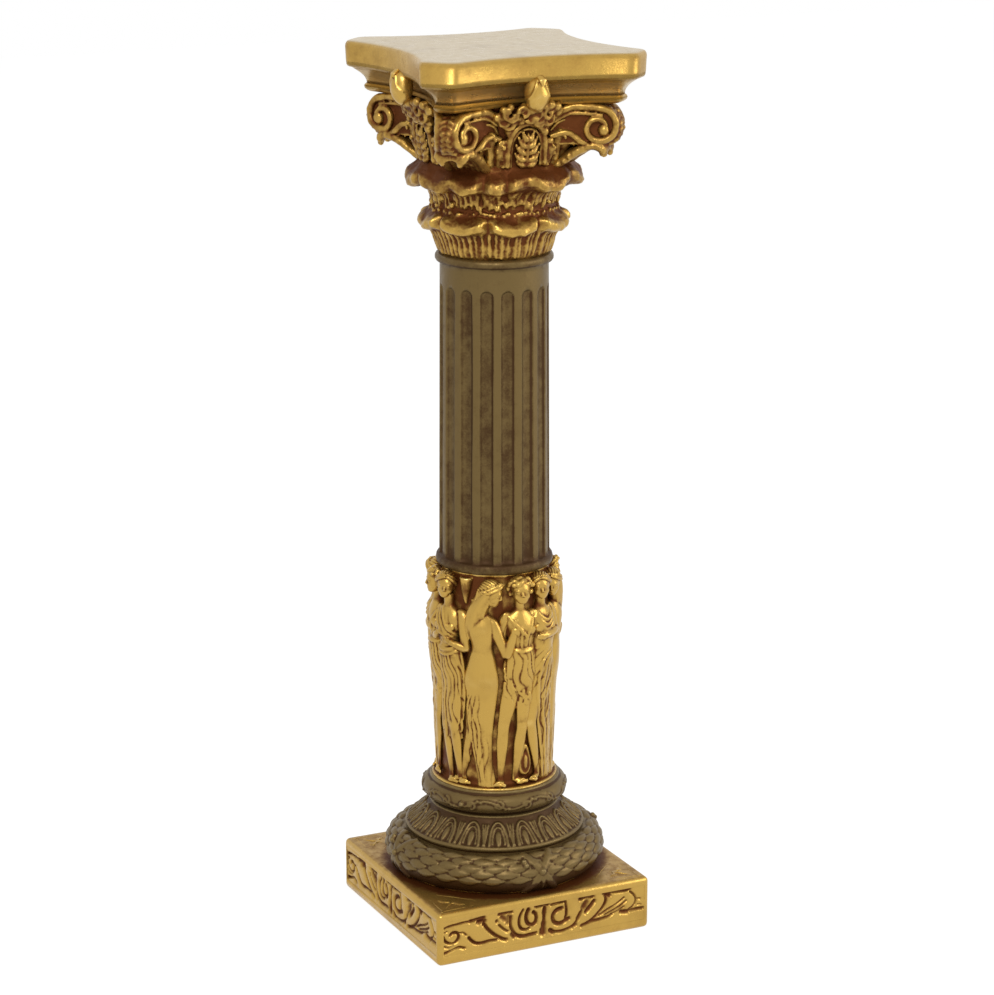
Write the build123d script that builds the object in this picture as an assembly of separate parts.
from build123d import *
import math
import os

# A cast resin column: square plinth, carved base mouldings, a drum ringed by standing
# draped figures, a fluted shaft and a capital of leaves and corner scrolls under a
# concave-sided slab. All of it is one casting, so the model is one solid.
# The origin is on the underside, under the axis. The wide front face looks along -Y.

# Whole column, millimetres
plinth_side = 200.0
total_height = 755.0

# Heights of the main breaks, from the floor up
plinth_top = 43.0
torus_top = 81.0
lip_top = 85.0
cyma_top = 102.0
upper_roll_low = 108.0
upper_roll_top = 125.0
drum_low = 127.0
shaft_ring_low = 318.0
shaft_low = 325.0
necking_top = 577.0
bell_low = 584.0
scroll_tier_low = 664.0
abacus_low = 713.0
cove_low = 719.0
slab_low = 733.0

# Plinth and its scroll panels
plinth_corner_cut = 2.4
panel_margin_side = 4.0
panel_margin_low = 10.0
panel_margin_top = 8.0
panel_depth = 2.6
panel_scroll_radius = 12.2
panel_scroll_band = 3.6
panel_scroll_eye = 2.6
panel_scroll_place = 14.5
panel_horn_place = 43.0
panel_leaf_place = 66.0
panel_rosette_place = 88.5
panel_rosette_drop = 4.0
panel_rosette_radius = 5.0

# Base mouldings
torus_radius = 18.6
torus_centre_radius = 77.0
torus_centre_height = 62.0
laurel_leaves_round = 28
laurel_rows = 8
laurel_rise = 1.0
laurel_sink = 1.0
lip_radius = 77.5
cyma_low_radius = 75.0
cyma_mid_radius = 65.5
cyma_mid_height = 92.0
cyma_top_radius = 56.5
tongue_count = 18
tongue_phase = 7.2
tongue_rise = 1.8
scotia_radius = 53.0
upper_roll_radius = 8.5
upper_roll_centre_radius = 54.3
drum_ring_radius = 56.0

# Figure drum
drum_radius = 46.5
drum_sides = 20
wrap_radius = 50.0
body_sides = 7
head_sides = 6
limb_sides = 4
view_angle = 243.2
figure_sequence = (
    (-74.0, "tunic"), (-47.0, "folded"), (-12.0, "turned"), (26.0, "tunic"), (54.0, "crossed"),
    (80.0, "turned"), (107.0, "folded"), (134.0, "tunic"), (161.0, "crossed"), (187.0, "turned"),
    (214.0, "folded"), (239.0, "tunic"), (263.0, "crossed"),
)

# Shaft
shaft_low_radius = 46.9
shaft_top_radius = 45.4
shaft_ring_radius = 49.6
necking_radius = 45.9
astragal_radius = 49.4
flute_count = 16
flute_width = 11.9
flute_depth = 3.0
flute_top = 558.5

# Capital
leaf_count = 8
leaf_phase = 261.5
leaf_spread = 20.5
bell_sides = 20
scroll_centre_radius = 93.5
scroll_centre_height = 694.5
scroll_radius = 15.5
scroll_band = 3.6
scroll_eye = 3.6
scroll_width = 20.0
scroll_relief = 2.5
corner_leaf_width = 24.0
arch_width = 30.0
arch_band = 3.5
arch_spring = 17.0
bud_place = 80.5
bud_sides = 6

# Slab with concave sides
slab_half = 101.3
slab_corner_cut = 21.75
slab_sagitta = 17.0
slab_taper = 5.0
cove_inset = 4.5
cove_taper = 36.0
bead_inset = 13.0


# Placing things round the axis

def outward(angle):
    a = math.radians(angle)
    return Vector(math.cos(a), math.sin(a), 0)


def along(angle):
    a = math.radians(angle)
    return Vector(-math.sin(a), math.cos(a), 0)


def polar(radius, angle, z):
    return outward(angle) * radius + Vector(0, 0, z)


def wall_plane(angle, radius, z):
    # local x runs round the column, y runs up and z points away from the axis
    return Plane(origin=polar(radius, angle, z), x_dir=along(angle), z_dir=outward(angle))


def radial_plane(angle):
    # local x points away from the axis and y runs up
    return Plane(origin=(0, 0, 0), x_dir=outward(angle), z_dir=along(angle) * -1)


def outline(*points):
    return make_face(Polyline(*points, close=True))


def turned(*points):
    # a body turned about the axis, from its outline in radius and height
    return revolve(Plane.XZ * outline(*points), Axis.Z, 360)


def arc_steps(centre, radius, start, end, steps):
    angles = [math.radians(start + (end - start) * i / steps) for i in range(steps + 1)]
    return [(centre[0] + radius * math.cos(a), centre[1] + radius * math.sin(a)) for a in angles]


def facet(*corners):
    return Face(Wire.make_polygon(corners))


def cut_body(rings):
    # a body of flat cuts through matching rings of points; the cuts lean to and fro, so
    # that points raised in turn become the middles of lozenges
    faces = [facet(*reversed(rings[0])), facet(*rings[-1])]
    for k, (low, high) in enumerate(zip(rings, rings[1:])):
        for i in range(len(low)):
            j = (i + 1) % len(low)
            if (i + k) % 2 == 0:
                faces += [facet(low[i], low[j], high[i]), facet(low[j], high[j], high[i])]
            else:
                faces += [facet(low[i], low[j], high[j]), facet(low[i], high[j], high[i])]
    return Solid(Shell(faces))


def scroll_face(radius, band, eye, turns=1.3, steps_per_turn=7):
    # a flat band that winds in from the rim and ends in a round eye
    count = round(turns * steps_per_turn)
    shrink = (radius - eye) / count
    outer = []
    inner = []
    for i in range(count + 4):
        a = math.radians(360.0 / steps_per_turn * i - 90)
        far = max(radius - shrink * i, eye)
        near = far - band * (1 - 0.4 * i / count)
        outer.append((far * math.cos(a), far * math.sin(a)))
        if i < count - 1:
            inner.append((near * math.cos(a), near * math.sin(a)))
    return outline(*outer, *reversed(inner))


# Plinth

def panel_shapes():
    # the left half of one panel: scroll, horn, leaf and corner rosette
    height = plinth_top - panel_margin_low - panel_margin_top
    low = -height / 2
    high = height / 2
    horn = outline((-6, low + 1), (1, -6), (5, 1), (4, high - 1), (-0.5, high - 1), (-1, 1))
    leaf = outline((-18, high - 5), (-8, high - 1), (3, 4), (15, low + 1), (4, -8), (-9, -7))
    return [
        Pos(-panel_scroll_place, 0) * scroll_face(panel_scroll_radius, panel_scroll_band, panel_scroll_eye),
        Pos(-panel_horn_place, 0) * horn,
        Pos(-panel_leaf_place, 0) * leaf,
        Pos(-panel_rosette_place, -panel_rosette_drop) * RegularPolygon(panel_rosette_radius, 5),
    ]


def plinth():
    block = Box(plinth_side, plinth_side, plinth_top, align=(Align.CENTER, Align.CENTER, Align.MIN))
    block = chamfer(block.edges().filter_by(Axis.Z), plinth_corner_cut)
    height = plinth_top - panel_margin_low - panel_margin_top
    width = plinth_side - 2 * panel_margin_side
    recesses = []
    reliefs = []
    for side in range(4):
        plane = wall_plane(90.0 * side, plinth_side / 2 - panel_depth, panel_margin_low + height / 2)
        recesses.append(extrude(plane * Rectangle(width, height), panel_depth + 1))
        for shape in panel_shapes():
            for face in (shape, mirror(shape, Plane.YZ)):
                reliefs.append(extrude(plane.offset(-1) * face, panel_depth + 1))
    block -= recesses
    block += reliefs
    return block


# Base mouldings

def laurel_roll():
    # the lower roll is one bundle of pointed leaves, cut as lozenges that fit together
    count = 2 * laurel_leaves_round
    rings = []
    for k in range(1, laurel_rows + 1):
        lean = math.radians(-90 + 180 * k / laurel_rows)
        ring = []
        for i in range(count):
            size = torus_radius + (laurel_rise if (i + k) % 2 == 0 else -laurel_sink)
            z = torus_centre_height + size * math.sin(lean)
            if k in (1, laurel_rows):
                size = torus_radius
                z = plinth_top if k == 1 else torus_top
            ring.append(polar(torus_centre_radius + size * math.cos(lean), 360.0 / count * i, z))
        rings.append(ring)
    return cut_body(rings)


def tongue_collar():
    # rounded tongues stand side by side up the slope over the roll
    pitch = 360.0 / tongue_count
    levels = (
        (lip_top, cyma_low_radius, 0.32, 0.42, tongue_rise),
        (cyma_mid_height, cyma_mid_radius, 0.32, 0.42, tongue_rise),
        (cyma_top, cyma_top_radius, 0.14, 0.42, tongue_rise / 2),
    )
    rings = []
    for z, radius, tongue, gap, rise in levels:
        ring = []
        for i in range(tongue_count):
            middle = tongue_phase + pitch * i
            ring.append(polar(radius, middle - gap * pitch, z))
            ring.append(polar(radius + rise, middle - tongue * pitch, z))
            ring.append(polar(radius + rise, middle + tongue * pitch, z))
            ring.append(polar(radius, middle + gap * pitch, z))
        rings.append(ring)
    return cut_body(rings)


def base_mouldings():
    roll_middle = (upper_roll_low + upper_roll_top) / 2
    roll = arc_steps((upper_roll_centre_radius, roll_middle), upper_roll_radius, -90, 90, 3)
    lip = turned((0, torus_top), (lip_radius, torus_top), (lip_radius, lip_top), (0, lip_top))
    upper = turned(
        (0, drum_low), (0, cyma_top), (cyma_top_radius + 1.5, cyma_top), (scotia_radius, upper_roll_low), *roll,
        (drum_ring_radius, upper_roll_top), (drum_ring_radius, drum_low))
    return [laurel_roll(), lip, tongue_collar(), upper]


# Figures

def round_section(angle, z, shift, half_width, half_depth, radius, sides):
    turn = angle + math.degrees(shift / wrap_radius)
    plane = Plane(origin=polar(radius, turn, z), x_dir=along(turn), z_dir=(0, 0, 1))
    steps = [2 * math.pi * (i + 0.5) / sides for i in range(sides)]
    points = [(half_width * math.cos(a), half_depth * math.sin(a)) for a in steps]
    return plane * Polygon(*points, align=None)


def trunk(angle, sections, sides=body_sides):
    # sections give height, shift round the drum, half width, half depth and distance out
    return loft([round_section(angle, *section, sides) for section in sections], ruled=True)


def limb(angle, start, end):
    # each end gives shift round the drum, height, distance out and thickness
    ends = []
    for shift, z, radius, thickness in (start, end):
        turn = angle + math.degrees(shift / wrap_radius)
        ends.append((polar(radius, turn, z), thickness))
    way = ends[1][0] - ends[0][0]
    sections = [
        Plane(origin=point, x_dir=outward(angle), z_dir=way) * RegularPolygon(thickness, limb_sides)
        for point, thickness in ends]
    return loft(sections, ruled=True)


def foot(angle, shift, toe):
    return limb(angle, (shift, 134.0, 47.0, 3.4), (shift + toe, 130.0, 53.0, 2.8))


def head(angle, shift, z=303.0, hair=1.0):
    # chin, cheeks, brow under the hair, crown
    sections = [
        (z - 13.0, shift, 3.4, 3.8, 50.2),
        (z - 5.0, shift, 7.4 * hair, 7.4, 50.0),
        (z + 7.0, shift, 9.0 * hair, 8.4, 49.0),
        (z + 12.5, shift, 4.8, 4.8, 48.4),
    ]
    return trunk(angle, sections, head_sides)


robe = (
    (130.0, 0.0, 10.0, 7.2, 46.0), (196.0, 1.0, 11.6, 8.6, 46.2), (236.0, 0.5, 13.5, 10.6, 46.4),
    (257.0, 0.0, 10.0, 8.6, 46.4), (277.0, 0.0, 12.5, 9.8, 46.2), (293.0, -2.0, 3.8, 4.0, 48.0),
)
swayed_robe = (
    (130.0, 2.5, 8.5, 7.0, 46.0), (180.0, 1.0, 9.0, 8.0, 46.0), (226.0, -2.5, 12.8, 11.0, 46.2),
    (255.0, 0.5, 9.0, 9.0, 46.2), (278.0, -1.0, 11.5, 9.6, 46.2), (296.0, 6.0, 4.2, 4.6, 48.0),
)
tunic = (
    (203.0, 1.5, 11.5, 8.6, 46.6), (230.0, 0.5, 13.0, 10.4, 46.4), (257.0, 0.0, 9.5, 9.0, 46.4),
    (276.0, 0.0, 12.0, 9.8, 46.2), (293.0, 0.5, 3.8, 4.0, 48.0),
)
shoulder_left = (-12.0, 282.0, 48.5, 4.6)
shoulder_right = (12.0, 282.0, 48.5, 4.6)


def folded_figure(angle):
    # both forearms are folded over the waist
    elbow = (14.0, 252.0, 53.0, 4.0)
    return [
        trunk(angle, robe), head(angle, -3.0), limb(angle, shoulder_right, elbow),
        limb(angle, elbow, (-4.0, 259.0, 56.0, 3.4)), limb(angle, shoulder_left, (-14.0, 257.0, 53.5, 4.0)),
        foot(angle, 4.0, 2.0),
    ]


def swayed_figure(angle):
    # seen from behind, hair down the back, one hand raised to the next figure
    elbow = (19.0, 254.0, 53.5, 4.0)
    return [
        trunk(angle, swayed_robe), head(angle, 9.0, 304.0),
        trunk(angle, [(274.0, -4.0, 3.0, 4.0, 51.5), (308.0, 3.0, 7.0, 7.0, 49.5)], limb_sides),
        limb(angle, (6.0, 283.0, 49.5, 4.6), elbow), limb(angle, elbow, (25.0, 285.0, 54.5, 3.4)),
    ]


def tunic_figure(angle):
    # a short tunic over bare lower legs
    return [
        trunk(angle, tunic), head(angle, 1.0, 303.5, 1.1), limb(angle, shoulder_right, (15.5, 250.0, 51.5, 3.8)),
        limb(angle, (-10.5, 208.0, 49.0, 6.2), (-12.5, 134.0, 46.8, 3.6)), foot(angle, -12.5, -1.0),
        limb(angle, (4.5, 208.0, 49.8, 6.2), (-0.5, 134.0, 47.2, 3.6)), foot(angle, -0.5, 3.0),
    ]


def crossed_figure(angle):
    # one forearm lies level across the waist and one leg steps out of the robe
    elbow = (13.5, 259.0, 54.0, 4.0)
    knee = (-8.5, 184.0, 51.0, 5.4)
    return [
        trunk(angle, robe), head(angle, -3.0, 304.0), limb(angle, shoulder_right, elbow),
        limb(angle, elbow, (-13.0, 261.5, 55.0, 3.4)), limb(angle, (-4.0, 212.0, 49.5, 6.0), knee),
        limb(angle, knee, (-2.0, 134.0, 48.0, 3.6)), foot(angle, -2.0, -5.0),
    ]


def figure_drum():
    makers = {
        "folded": folded_figure, "turned": swayed_figure,
        "tunic": tunic_figure, "crossed": crossed_figure,
    }
    figures = []
    for place, kind in figure_sequence:
        figures += makers[kind](view_angle + place)
    core = extrude(Pos(0, 0, drum_low) * RegularPolygon(drum_radius, drum_sides), shaft_ring_low - drum_low)
    return core + figures


# Shaft

def fluted_shaft():
    # lands on the full radius and hollow flutes between them, closed near the necking
    levels = (
        (shaft_low, shaft_low_radius, 1.1, 1.1), (flute_top - 8, shaft_top_radius, 1, 1),
        (flute_top - 2.5, shaft_top_radius, 0.76, 0.7), (flute_top, shaft_top_radius, 0.3, 0),
    )
    rings = []
    for z, radius, spread, sink in levels:
        ring = []
        for i in range(flute_count):
            middle = 360.0 / flute_count * (i + 0.5)
            for across in (-1, -0.55, 0, 0.55, 1):
                turn = math.degrees(across * spread * flute_width / 2 / radius)
                ring.append(polar(radius - flute_depth * sink * (1 - across * across), middle + turn, z))
        rings.append(ring)
    return cut_body(rings)


def shaft():
    foot_ring = turned(
        (0, shaft_ring_low), (shaft_ring_radius - 1.6, shaft_ring_low), (shaft_ring_radius, shaft_ring_low + 3),
        (shaft_ring_radius - 1.2, shaft_low), (0, shaft_low))
    necking = turned(
        (0, flute_top), (necking_radius, flute_top), (necking_radius, necking_top),
        (astragal_radius - 2.4, necking_top), (astragal_radius, necking_top + 3),
        (astragal_radius - 3, bell_low), (0, bell_low))
    return [foot_ring, fluted_shaft(), necking]


# Capital

lower_leaf_middle = (
    (43, 585), (47.5, 585), (50, 601), (61, 606), (62.1, 612), (58, 619), (43, 622))
lower_leaf_edge = (
    (43, 585), (46.5, 585), (48.5, 604), (57, 610.5), (59.3, 614.5), (55.5, 619), (43, 621))
upper_leaf_middle = (
    (47, 621), (52.5, 621), (55, 635), (70.5, 640), (72.2, 646), (68, 654), (47, 664))
upper_leaf_edge = (
    (47, 621), (51.5, 621), (53.5, 638), (66.5, 645.5), (68.8, 650), (64.5, 656), (47, 663))


def leaf_tier(edge, middle, phase):
    # each leaf bows out and droops at its middle and is notched at its edges
    leaves = []
    for i in range(leaf_count):
        angle = phase + 360.0 / leaf_count * i
        sections = [
            radial_plane(angle + turn) * Polygon(*shape, align=None)
            for turn, shape in ((-leaf_spread, edge), (0, middle), (leaf_spread, edge))]
        leaves.append(loft(sections, ruled=True))
    return leaves


def corner_scroll(angle):
    # a rolled scroll stands across each corner, on a stem and over a drooping leaf
    leaf = outline(
        (48, scroll_tier_low), (60, 666), (72, 675), (83, 678), (88, 670.5), (92.5, 671), (95, 683), (70, 706),
        (48, 706))
    centre = Pos(scroll_centre_radius, scroll_centre_height, 0)
    core = scroll_width / 2 - scroll_relief
    pieces = [
        extrude(leaf, corner_leaf_width / 2, both=True),
        centre * extrude(RegularPolygon(scroll_radius, 12), core, both=True),
    ]
    spiral = extrude(scroll_face(scroll_radius, scroll_band, scroll_eye), scroll_relief + 0.5)
    raised = Pos(0, 0, core - 0.5) * spiral
    pieces += [centre * raised, centre * mirror(raised, Plane.XY)]
    return [radial_plane(angle).location * piece for piece in pieces]


def face_ornament(angle):
    # an arched hollow with a fan of leaf in it
    far = arch_width / 2
    near = far - arch_band
    head_far = arc_steps((0, arch_spring), far, 180, 0, 4)
    head_near = arc_steps((0, arch_spring), near, 0, 180, 4)
    arch = outline((-far, 0), *head_far, (far, 0), (near, 0), *head_near, (-near, 0))
    fan = outline((-3, 0), (-9, 8), (-5, 9), (-7, 18), (0, 25), (7, 18), (5, 9), (9, 8), (3, 0))
    base = wall_plane(angle, 50, scroll_tier_low - 2)
    return [extrude(base * arch, 17), extrude(base * fan, 14)]


def bud(angle):
    return trunk(angle, [
        (709.0, 0.0, 3.0, 3.0, bud_place), (718.0, 0.0, 8.6, 8.0, bud_place),
        (731.0, 0.0, 8.8, 8.4, bud_place), (738.5, 0.0, 5.0, 5.5, bud_place)], bud_sides)


def capital():
    bell = cut_body([
        [polar(radius, 360.0 / bell_sides * (i + 0.5), z) for i in range(bell_sides)]
        for radius, z in ((45.2, bell_low), (50, 632), (56, 672), (66, abacus_low))])
    pieces = leaf_tier(lower_leaf_edge, lower_leaf_middle, leaf_phase)
    pieces += leaf_tier(upper_leaf_edge, upper_leaf_middle, leaf_phase + 22.5)
    for side in range(4):
        pieces += corner_scroll(90.0 * side + 45)
        pieces += face_ornament(90.0 * side)
    return bell + pieces


# Slab

def slab_sketch(inset=0.0):
    half = slab_half - inset
    reach = slab_half - slab_corner_cut - inset * (math.sqrt(2) - 1)
    edges = None
    for side in range(4):
        a = Vector(-reach, -half, 0).rotate(Axis.Z, 90 * side)
        middle = Vector(0, -half + slab_sagitta, 0).rotate(Axis.Z, 90 * side)
        b = Vector(reach, -half, 0).rotate(Axis.Z, 90 * side)
        c = Vector(half, -reach, 0).rotate(Axis.Z, 90 * side)
        piece = ThreePointArc(a, middle, b) + Line(b, c)
        edges = piece if edges is None else edges + piece
    return make_face(edges)


def slab():
    top = extrude(Pos(0, 0, total_height) * slab_sketch(), slab_low - total_height, taper=slab_taper)
    cove = extrude(Pos(0, 0, slab_low) * slab_sketch(cove_inset), cove_low - slab_low, taper=cove_taper)
    bead = extrude(Pos(0, 0, abacus_low) * slab_sketch(bead_inset), cove_low - abacus_low)
    return top + cove + bead + [bud(90.0 * side) for side in range(4)]


def column():
    pieces = base_mouldings() + [figure_drum()] + shaft() + [capital(), slab()]
    return plinth() + pieces


os.makedirs("parts", exist_ok=True)
export_step(column(), "parts/resin_column.step")
